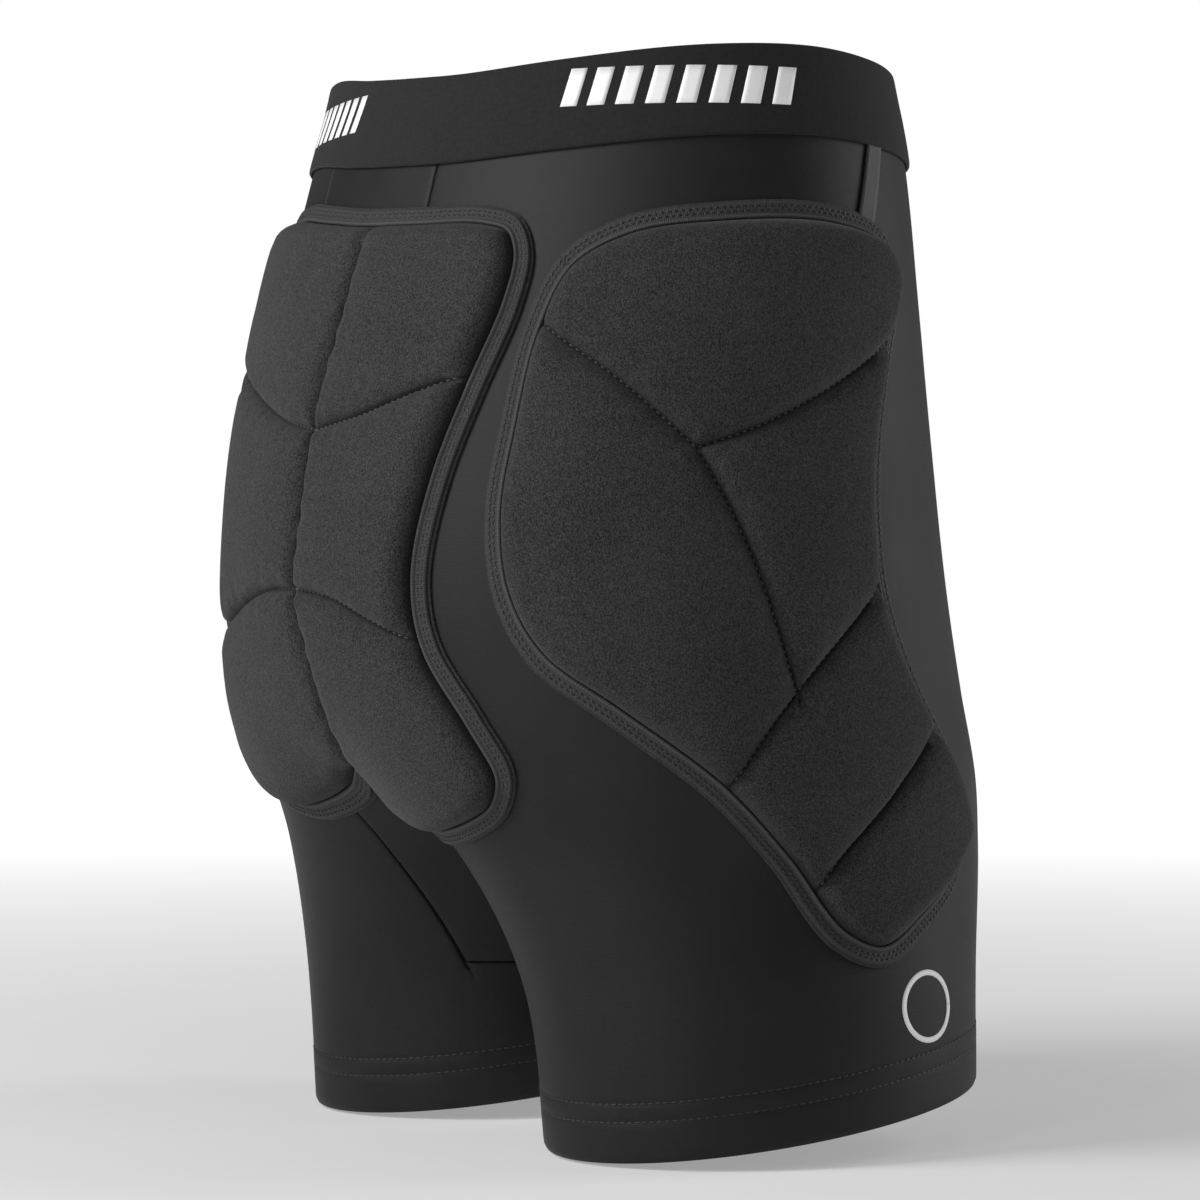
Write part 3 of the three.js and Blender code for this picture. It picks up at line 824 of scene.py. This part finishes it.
def smooth_line(points, step, closed=False):
    """A smooth curve through points, resampled at even steps."""
    p = np.array(points, float)
    p = np.vstack([p[-1], p, p[:2]]) if closed else np.vstack([2 * p[0] - p[1], p, 2 * p[-1] - p[-2]])
    t = np.linspace(0, 1, 24, endpoint=False)[:, None]
    parts = []
    for a, b, c, d in zip(p, p[1:], p[2:], p[3:]):
        before, here, after = (np.sqrt(np.linalg.norm(q)) for q in (b - a, c - b, d - c))
        leave = here * ((b - a) / before - (c - a) / (before + here) + (c - b) / here)
        arrive = here * ((c - b) / here - (d - b) / (here + after) + (d - c) / after)
        parts.append(hermite(b, c, leave, arrive, t))
    line = np.vstack([*parts, p[-2] if not closed else p[1]])
    run = run_of(line)
    count = max(2, round(run[-1] / step))
    even = read_along(line, run, np.linspace(0, run[-1], count + 1))
    return even[:-1] if closed else even


def leftwards(ahead):
    """Flat directions turned a quarter turn to the left, with a length of one."""
    return unit(np.stack([-ahead[:, 1], ahead[:, 0]], axis=1))


def inwards(loop, distance):
    """A closed anticlockwise loop moved in by a distance."""
    return loop + leftwards(np.roll(loop, -2, axis=0) - np.roll(loop, 2, axis=0)) * distance


def anticlockwise(loop):
    x, y = loop.T
    area = (x * np.roll(y, -1) - y * np.roll(x, -1)).sum()
    return loop if area > 0 else loop[::-1]


def away_from(points, line, closed=False):
    """The distance from each flat point to the nearest place on a line."""
    start = line if closed else line[:-1]
    end = np.roll(line, -1, axis=0) if closed else line[1:]
    best = np.full(len(points), 1e9)
    for a, b in zip(start, end):
        run = b - a
        t = np.clip(((points - a) @ run) / (run @ run), 0, 1)
        best = np.minimum(best, np.linalg.norm(points - a - t[:, None] * run, axis=1))
    return best


def away_from_all(points, lines):
    """The distance from each flat point to the nearest of some lines."""
    return np.min([np.full(len(points), 1e9), *(away_from(points, line) for line in lines)], axis=0)


def within(points, loop):
    """True for each flat point inside a closed loop."""
    x, y = points[:, 0], points[:, 1]
    odd = np.zeros(len(points), bool)
    for (ax, ay), (bx, by) in zip(loop, np.roll(loop, -1, axis=0)):
        crosses = (ay > y) != (by > y)
        odd ^= crosses & (x < (bx - ax) * (y - ay) / (by - ay + 1e-12) + ax)
    return odd


# %% Triangulate a pattern
EDGE_ROWS = (0.25, 0.7, 1.4, 2.4, 3.7, 5.4, 7.6)
CHANNEL_ROWS = (0.5, 1.1, 2.0, 3.2, 4.8)


def lay_out(loop, channels, spacing, edge_rows, channel_rows):
    """Triangles over a pattern, with rows of points beside its edge and its channels."""
    lines = [smooth_line(c, spacing * 0.75) for c in channels]
    candidates = [(inwards(loop, row), row, 0.0) for row in edge_rows]
    for line in lines:
        normal = leftwards(np.gradient(line, axis=0))
        candidates += [(line + normal * s * row, 0.0, row) for row in channel_rows for s in (1, -1)]
    low, high = loop.min(0), loop.max(0)
    columns = np.arange(low[0], high[0], spacing)
    levels = np.arange(low[1], high[1], spacing * 0.866)
    hexes = np.array([(u + spacing / 2 * (j % 2), z) for j, z in enumerate(levels) for u in columns])
    candidates.append((hexes, -1.0, -1.0))
    kept = []
    for points, edge_row, channel_row in candidates:
        points = points[within(points, loop)]
        to_edge = away_from(points, loop, closed=True)
        to_channel = away_from_all(points, lines)
        if edge_row < 0:
            ok = (to_edge > edge_rows[-1] + spacing * 0.6)
            ok &= to_channel > (channel_rows or [0])[-1] + spacing * 0.6
        elif edge_row:
            ok = (to_edge > edge_row * 0.85) & (to_channel > edge_row * 0.5 + 0.3)
        else:
            ok = (to_channel > channel_row * 0.85) & (to_edge > edge_rows[-1] + 0.4)
        kept.append(points[ok])
    flat = [loop, *lines, *kept]
    starts = np.cumsum([0] + [len(p) for p in flat])
    edges = [(starts[i + 1] + j, starts[i + 1] + j + 1)
             for i, line in enumerate(lines) for j in range(len(line) - 1)]
    verts, all_edges, faces, _, origins, _ = delaunay_2d_cdt(
        [Vector(p) for p in np.vstack(flat)], edges, [list(range(len(loop)))], 1, 1e-4)
    points = np.array([(v.x, v.y) for v in verts])
    sewn = {tuple(sorted(e)) for e, o in zip(all_edges, origins) if o and min(o) < len(edges)}
    return points, [list(f) for f in faces], sewn, lines


class Pattern:
    """A pad laid flat, in millimetres: its outline, cover mesh, and what is stitched where."""

    def __init__(self, outline, channels):
        self.outline = anticlockwise(smooth_line(outline, 1.5, closed=True))
        self.cover_edge = inwards(self.outline, BORDER_WIDTH)
        self.channels = channels
        self.flat, self.faces, self.sewn, self.lines = lay_out(
            self.cover_edge, channels, 2.6, EDGE_ROWS, CHANNEL_ROWS)


tail, hip = Pattern(TAIL_OUTLINE, TAIL_CHANNELS), Pattern(HIP_OUTLINE, HIP_CHANNELS)
print("tail pattern", len(tail.flat), "hip pattern", len(hip.flat))

# %% [markdown]
# ### How high the foam stands
# The cells are nine to ten millimetres thick with rounded shoulders. At the bound edge the cover turns
# straight down, and at a channel it dips to about half its height in a crisp line.

# %% Height of the cover above the shell
EDGE_HEIGHT, FOAM_HEIGHT = 1.9, 11.3
SHOULDER, CHANNEL_SHARE, CHANNEL_REACH = 8.0, 0.6, 2.7


def ripple(points, size, seed):
    """Gentle irregular waves from -1 to 1, the same on every run."""
    random = np.random.default_rng(seed)
    total = np.zeros(len(points))
    for _ in range(7):
        turn, phase = random.uniform(0, 2 * math.pi, 2)
        wave = 2 * math.pi / (size * random.uniform(0.7, 1.5))
        total += np.sin((points @ [math.cos(turn), math.sin(turn)]) * wave + phase)
    return total / 3.5


def cover_height(pattern, points):
    to_edge = away_from(points, pattern.cover_edge, closed=True)
    to_channel = away_from_all(points, pattern.lines)
    wall = np.sqrt(1 - (1 - np.minimum(to_edge / SHOULDER, 1)) ** 2)
    pucker = 1 + 0.22 * ripple(points, 9, 5)
    valley = CHANNEL_SHARE * np.exp(-to_channel / (CHANNEL_REACH * pucker))
    loft = (FOAM_HEIGHT - EDGE_HEIGHT + 0.3 * ripple(points, 60, 8)) * wall * (1 - valley)
    return EDGE_HEIGHT + loft, to_edge, to_channel


# %% [markdown]
# ### Puffing the pads with a cloth simulation
# Foam pushes the cover out between its stitches, most in the middle of a cell. The pad is closed
# into a solid, remeshed with voxels and given a Cloth modifier with pressure and no gravity,
# pinned where it is sewn. What the cloth moved is capped and then added to the fine mesh, whose
# channels a remesh would have erased.

# %% Simulate one pad
PUFF_VOXEL, PUFF_CAP, PUFF_FRAMES = 5.0 * MM, 2.2, 20


def puffed(pattern, height, to_edge, to_channel):
    """How far each point of the flat cover moves when its cells fill out, in millimetres."""
    up = np.tile([0.0, 0.0, 1.0], (len(height), 1))
    top = np.column_stack([pattern.flat, height]) * MM
    points, faces = thicken(top, pattern.faces, up, (height - 0.4) * MM)
    mesh = evaluated("puff", points, faces, [("REMESH", {"mode": "VOXEL", "voxel_size": PUFF_VOXEL})])
    pad = add_object("puff", mesh)
    start = np.array([v.co for v in mesh.vertices], float)
    flat = start[:, :2] / MM
    near_seam = away_from_all(flat, pattern.lines) < 4.0
    near_edge = away_from(flat, pattern.cover_edge, closed=True) < 3.0
    pinned = pad.vertex_groups.new(name="sewn")
    fixed = np.flatnonzero(near_seam | near_edge | (start[:, 2] < 3 * MM))
    pinned.add([int(i) for i in fixed], 1.0, "REPLACE")
    cloth = pad.modifiers.new("cloth", "CLOTH")
    cloth.settings.use_pressure = True
    cloth.settings.uniform_pressure_force = 4.0
    cloth.settings.vertex_group_mass = "sewn"
    cloth.settings.effector_weights.gravity = 0.0
    cloth.settings.quality = 6
    cloth.point_cache.frame_start, cloth.point_cache.frame_end = 1, PUFF_FRAMES
    for number in range(1, PUFF_FRAMES + 1):
        bpy.context.scene.frame_set(number)
    settled = pad.evaluated_get(bpy.context.evaluated_depsgraph_get()).to_mesh()
    moved = (np.array([v.co for v in settled.vertices], float) - start) / MM
    size = np.linalg.norm(moved, axis=1)
    print("puffed", len(start), "points by up to", size.max().round(2), "mm")
    moved *= (PUFF_CAP * np.tanh(size / PUFF_CAP) / np.maximum(size, 1e-6))[:, None]
    upper = np.flatnonzero(start[:, 2] > 5 * MM)
    tree = KDTree(len(upper))
    for i in upper:
        tree.insert((flat[i, 0], flat[i, 1], 0), int(i))
    tree.balance()
    found = np.zeros((len(height), 3))
    for k, (u, z) in enumerate(pattern.flat):
        close = tree.find_n((u, z, 0), 6)
        weights = np.array([math.exp(-(c[2] / 5) ** 2) + 1e-6 for c in close])
        found[k] = weights @ moved[[c[1] for c in close]] / weights.sum()
    bpy.data.objects.remove(pad)
    bpy.context.scene.frame_set(1)
    fade = np.minimum(1, np.minimum(to_edge, to_channel) / 6)
    return found * fade[:, None]


for pattern in (tail, hip):
    height, pattern.to_edge, pattern.to_channel = cover_height(pattern, pattern.flat)
    pattern.top = np.column_stack([pattern.flat, height]) + puffed(
        pattern, height, pattern.to_edge, pattern.to_channel)
    print("cover stands", pattern.top[:, 2].max().round(2), "mm off the shell")

# %% [markdown]
# ## Covers, foam and linings
# The cover is a skin of brushed cloth just under a millimetre thick. Under it each cell has its
# own block of foam, cut out of the same mesh along the sewn edges and pulled in all round, and
# the lining closes the pad towards the body.

# %% Cover, foam cells and lining of one pad
COVER_THICKNESS = 0.9
LINING_FLOOR, LINING_TOP = 0.3, 1.1


def cells_of(pattern):
    """The triangles of each foam cell: neighbours that no sewn edge parts."""
    owner, pending, cells = {}, set(range(len(pattern.faces))), []
    for i, face in enumerate(pattern.faces):
        for a, b in zip(face, face[1:] + face[:1]):
            owner.setdefault(tuple(sorted((a, b))), []).append(i)
    while pending:
        stack, cell = [pending.pop()], []
        while stack:
            i = stack.pop()
            cell.append(i)
            face = pattern.faces[i]
            for edge in (tuple(sorted(e)) for e in zip(face, face[1:] + face[:1])):
                if edge in pattern.sewn:
                    continue
                for j in owner[edge]:
                    if j in pending:
                        pending.discard(j)
                        stack.append(j)
        if len(cell) > 40:
            cells.append(cell)
    return cells


def make_cover(pattern, name, node, side):
    points, normals = wrapped(pattern.top * MM, side)
    faces = oriented(pattern.faces, side)
    mesh = thicken(points, faces, normals, COVER_THICKNESS * MM)
    # The cut map holds each point's distance to a channel and to the cover's edge, from which the
    # cover paints shade in those grooves.
    marks = np.column_stack([pattern.to_channel, pattern.to_edge]) * MM
    piece = make_piece(name, *mesh, BRUSHED, "pad_cover", np.vstack([marks, marks]))
    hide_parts(node)
    return piece


def make_foams(pattern, name, node, side):
    made = []
    for cell in cells_of(pattern):
        used = np.array(sorted({i for t in cell for i in pattern.faces[t]}))
        clear = (pattern.to_edge[used] > 1.3) & (pattern.to_channel[used] > 1.9)
        kept = set(used[clear])
        faces = [pattern.faces[t] for t in cell if all(i in kept for i in pattern.faces[t])]
        used, faces = compact(faces)
        faces = oriented(faces, side)
        top = pattern.top[used] - [0, 0, COVER_THICKNESS + 0.25]
        floor = np.minimum(top[:, 2] - 0.5, 1.5)
        outer, normals = wrapped(top * MM, side)
        mesh = thicken(outer, faces, normals, (top[:, 2] - floor) * MM)
        middle = outer.mean(0)
        cells = [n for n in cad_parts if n.startswith(f"{node}_foam_")]
        nearest = min(cells, key=lambda n: np.linalg.norm(
            (np.array(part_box(n)[0]) + np.array(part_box(n)[1])) / 2 - middle))
        piece = make_piece(nearest.replace(node, name) + "_block", *mesh, FOAM, "foam")
        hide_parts(nearest)
        made.append(piece)
    return made


# Painted shadow: the lining is cut wider than the pad, and its dark rim showing round the binding
# stands in for the shadow that the binding casts.
LINING_SHADOW_RIM = 1.1  # how far the dark lining peeps out from under the bound edge


def make_lining(pattern, name, node, side):
    # The lining reaches out past the outline, so its dark rim shows as a painted shadow round the
    # binding.
    flat, faces, _, _ = lay_out(inwards(pattern.outline, -LINING_SHADOW_RIM)[::2], [], 7.0, (2.0,), ())
    top = np.column_stack([flat, np.full(len(flat), LINING_TOP)]) * MM
    points, normals = wrapped(top, side)
    mesh = thicken(points, oriented(faces, side), normals, (LINING_TOP - LINING_FLOOR) * MM)
    piece = make_piece(name, *mesh, LINING, "pad_lining")
    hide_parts(node)
    return piece


# %% [markdown]
# ## The bound edge
# A tape seven millimetres wide is folded over the pad's edge and sewn down twice; where it meets
# the foam it rolls up into a cord-like ridge. It is one profile carried round the outline. The
# two rows of thread are slanting grains, turn about, which reads as a chain.

# %% Binding and stitches of one pad
BINDING_PROFILE = ((0.25, 1.15), (0.0, 1.5), (0.05, 2.1), (0.45, 2.6), (1.1, 2.75), (1.8, 2.5),
                   (2.6, 2.8), (3.4, 2.5), (4.2, 2.8), (4.7, 2.65), (4.95, 3.1), (5.4, 3.75),
                   (6.0, 3.9), (6.5, 3.4), (6.7, 2.6), (6.5, 1.5), (3.5, 1.15))


def make_binding(pattern, name, node, side):
    loop = pattern.outline
    run = np.arange(len(loop)) * 1.5 * MM
    rings, flat_map = [], []
    for across, rise in BINDING_PROFILE:
        ring = np.column_stack([inwards(loop, across), np.full(len(loop), rise)]) * MM
        rings.append(wrapped(ring, side)[0])
        flat_map.append(np.column_stack([run, np.full(len(loop), across * MM)]))
    faces = oriented(ring_faces(len(rings), len(loop)), side)
    piece = make_piece(name, np.vstack(rings), faces, BINDING, "pad_binding", np.vstack(flat_map))
    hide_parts(node)
    return piece


def closed_path(pattern, across, rise, side):
    ring = np.column_stack([inwards(pattern.outline, across), np.full(len(pattern.outline), rise)])
    ring = np.vstack([ring, ring[:1]]) * MM
    return wrapped(ring, side)


def channel_paths(pattern, side):
    """Where the channel threads lie: along each channel, on the cover's valley floor."""
    paths = []
    for line in pattern.lines:
        line = line[within(line, inwards(pattern.cover_edge, 1.5))]
        height, _, _ = cover_height(pattern, line)
        paths.append(wrapped(np.column_stack([line, height + 0.05]) * MM, side))
    return paths


def make_pad(pattern, name, node, side):
    make_cover(pattern, f"{name}_cover", f"{node}_cover", side)
    make_foams(pattern, name, node, side)
    lining = make_lining(pattern, f"{name}_lining", f"{node}_backing", side)
    binding = make_binding(pattern, f"{name}_binding", f"{node}_border", side)
    edge_rows = [closed_path(pattern, across, 2.5, side) for across in STITCH_LINES]
    threads = stitch_rows(f"{name}_edge_stitches", edge_rows, DARK_THREAD,
                          2.3 * MM, 1.2 * MM, 0.5 * MM, 2.6 * MM, zigzag=0.5)
    channel = stitch_rows(f"{name}_channel_stitches", channel_paths(pattern, side), PALE_THREAD,
                          1.7 * MM, 0.8 * MM, 0.6 * MM, 3.0 * MM)
    return lining, [binding, threads, channel]


PADS = {"tail": (tail, "tail_pad", -1), "right_hip": (hip, "hip_pad_right", -1),
        "left_hip": (hip, "hip_pad_left", 1)}
padding = {name: make_pad(pattern, name, node, side) for name, (pattern, node, side) in PADS.items()}

# %% [markdown]
# ## Tabs, and the printed marks
# A narrow ribbed tape runs from under the waistband to the top of each hip pad and keeps the pad
# from slipping. The marks are a thin white transfer film: a run of slanting bars on the waistband
# at two places, and a plain ring on the right leg.

# %% Make the tabs
TAB_LINE = ((268, -30), (253, -70))
TAB_HALF = 4.75
TAB_START, TAB_THICKNESS = 0.12, 0.8 * MM


def make_tab(name, node, side):
    rows, columns = 17, 7
    top, low = np.array(TAB_LINE[0], float), np.array(TAB_LINE[1], float)
    top = top + (low - top) * TAB_START
    points, flat_map = [], []
    for t in np.linspace(0, 1, rows):
        for s in np.linspace(-1, 1, columns):
            middle = top + (low - top) * t
            rise = 1.2 + 0.18 * abs(s) ** 3
            points.append((middle[0] + s * TAB_HALF, middle[1], rise))
            flat_map.append((t * 40 * MM, s * TAB_HALF * MM))
    outer, normals = wrapped(np.array(points) * MM, side)
    faces = oriented(grid_faces(rows, columns), -side)
    mesh = thicken(outer, faces, normals, TAB_THICKNESS)
    piece = make_piece(name, *mesh, TAPE, "tab_tape", np.vstack([flat_map, flat_map]))
    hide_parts(node)
    return piece


tabs = [make_tab("right_tab", "waist_tab_right", -1), make_tab("left_tab", "waist_tab_left", 1)]

# %% Print the marks
FILM_RISE = 0.16 * MM
BAR_COUNT, BAR_WIDTH, BAR_PITCH, BAR_SLANT = 8, 7.6, 12.2, 5.0
BAR_TOP, BAR_LOW, BAR_RUNS = -8.5, -23.5, (179, -73)
RING_MIDDLE, RING_RADII = (279, -371.5), (12.0, 13.1, 14.2)


def film(name, patches, under):
    """Thin white film in grid patches of pattern points, raised off what lies under it."""
    points, normals, faces = [], [], []
    for grid in patches:
        rows, columns, _ = grid.shape
        start = sum(len(p) for p in points)
        where = np.dstack([grid * MM, np.full(grid.shape[:2], under)]).reshape(-1, 3)
        place, normal = wrapped(where)
        points.append(place)
        normals.append(normal)
        faces += [tuple(start + i for i in f) for f in grid_faces(rows, columns)]
    mesh = thicken(np.vstack(points), faces, np.vstack(normals), FILM_RISE)
    return make_piece(name, *mesh, INK, "print_ink")


def bar(middle, width):
    """A slanting bar, as a grid of pattern points."""
    t, s = np.meshgrid(np.linspace(0, 1, 5), np.linspace(-0.5, 0.5, 5), indexing="ij")
    return np.dstack([middle + s * width + (t - 0.5) * BAR_SLANT, BAR_LOW + t * (BAR_TOP - BAR_LOW)])


marks = [bar(centre + (i - (BAR_COUNT - 1) / 2) * BAR_PITCH, BAR_WIDTH)
         for centre in BAR_RUNS for i in range(BAR_COUNT)]
film("waist_print", marks, 2.3 * MM)
turn = np.linspace(0, 2 * math.pi, 61)
around = np.stack([np.cos(turn), np.sin(turn)], axis=1)
ring = np.stack([np.array(RING_MIDDLE) + r * around for r in RING_RADII], axis=0)
film("leg_print", [ring[::-1]], 0.2 * MM)

# %% [markdown]
# ## The sizes of the pads' flat cuts
# Each pad's flat cut has a width, a length and an area, measured on the solid model: arcs round
# the body and heights down it, at rest on the body. They are set here and given to no piece.

for name, (lining, others) in padding.items():
    width, length = (0.231, 0.259) if name == "tail" else (0.213, 0.294)
    area = 0.047 if name == "tail" else 0.0415

# %% [markdown]
# ## Floor, light and camera
# A plain pale floor under the hems, which glows more the further off it is, so that it runs into
# the backdrop without a line. Of the three soft lights, a broad one comes from above, on the
# camera's left, a narrow low one from beside the camera, and a tall one from the shorts' front
# right, which shows as a rim.

# %% Set the stage
CENTRE = Vector((0, 0, -0.213))
AZIMUTH, DISTANCE, SHIFT = math.radians(237), 1.7, 1.7 * MM
LENS, SENSOR = 122.4, 36
LIGHTS = (  # name, azimuth and elevation in degrees, distance and size in metres, watts
    ("key", 174, 30, 1.6, (0.8, 0.9), 23),
    ("edge", 212, 6, 1.7, (0.16, 1.3), 5),
    ("right_rim", 338, 15, 1.6, (0.7, 1.4), 11))
BACKDROP_SEEN, BACKDROP_GLOW = 0.9, 0.1


def stage_sheet():
    segments, rings = 48, (0.4, 1.2, 3.0, 6.0)
    floor = cad_box[0][2] - 0.001
    points = [(0, 0, floor)]
    turns = [2 * math.pi * i / segments for i in range(segments)]
    for r in rings:
        points += [(r * math.cos(turn), r * math.sin(turn), floor) for turn in turns]
    faces = [(0, 1 + i, 1 + (i + 1) % segments) for i in range(segments)]
    faces += [tuple(1 + k for k in f) for f in grid_faces(len(rings), segments, closed=True)]
    mesh = bpy.data.meshes.new("floor")
    mesh.from_pydata(points, [], faces)
    piece = add_object("floor", mesh)
    paint = Paint("floor_paint", Roughness=0.8, Emission_Strength=1.0)
    paint.put(Base_Color=paint.blend(grey(0.5), grey(0.54), paint.noise(0.8, 2.0)))
    away = paint.node("ShaderNodeVectorMath", {"operation": "LENGTH"}, {0: paint.place()},
                      output="Value")
    far = ((away - 0.5) * 0.6).share()
    paint.put(Emission_Color=paint.blend(grey(0.32), grey(1.0), far))
    mesh.materials.append(paint.material)


def soft_light(name, azimuth, elevation, distance, size, power):
    data = bpy.data.lights.new(name, "AREA")
    data.shape = "RECTANGLE"
    data.size, data.size_y = size
    data.energy = power
    lamp = add_object(name, data)
    a, e = math.radians(azimuth), math.radians(elevation)
    back = Vector((math.sin(a) * math.cos(e), -math.cos(a) * math.cos(e), math.sin(e)))
    lamp.location = CENTRE + back * distance
    lamp.rotation_euler = (-back).to_track_quat("-Z", "Y").to_euler()


stage_sheet()
for light in LIGHTS:
    soft_light(*light)
world = bpy.data.worlds.new("studio")
bpy.context.scene.world = world
world.use_nodes = True
tree = world.node_tree
backdrop = tree.nodes["Background"]
backdrop.inputs["Color"].default_value = (1, 1, 1, 1)
seen = tree.nodes.new("ShaderNodeLightPath")
strength = tree.nodes.new("ShaderNodeMath")
strength.operation = "MULTIPLY_ADD"
strength.inputs[1].default_value = BACKDROP_SEEN
strength.inputs[2].default_value = BACKDROP_GLOW
tree.links.new(seen.outputs["Is Camera Ray"], strength.inputs[0])
tree.links.new(strength.outputs[0], backdrop.inputs["Strength"])
bpy.context.scene.view_settings.view_transform = "Standard"

camera_data = bpy.data.cameras.new("camera")
camera_data.lens, camera_data.sensor_width = LENS, SENSOR
camera_data.clip_start, camera_data.clip_end = 0.05, 50
camera = add_object("camera", camera_data)
back = Vector((math.sin(AZIMUTH), -math.cos(AZIMUTH), 0))
beside = Vector((math.cos(AZIMUTH), math.sin(AZIMUTH), 0))
camera.location = CENTRE + back * DISTANCE - beside * SHIFT
camera.rotation_euler = (-back).to_track_quat("-Z", "Y").to_euler()
bpy.context.scene.camera = camera
print("camera at", [round(v, 3) for v in camera.location])

# %% Finish
bpy.context.view_layer.update()
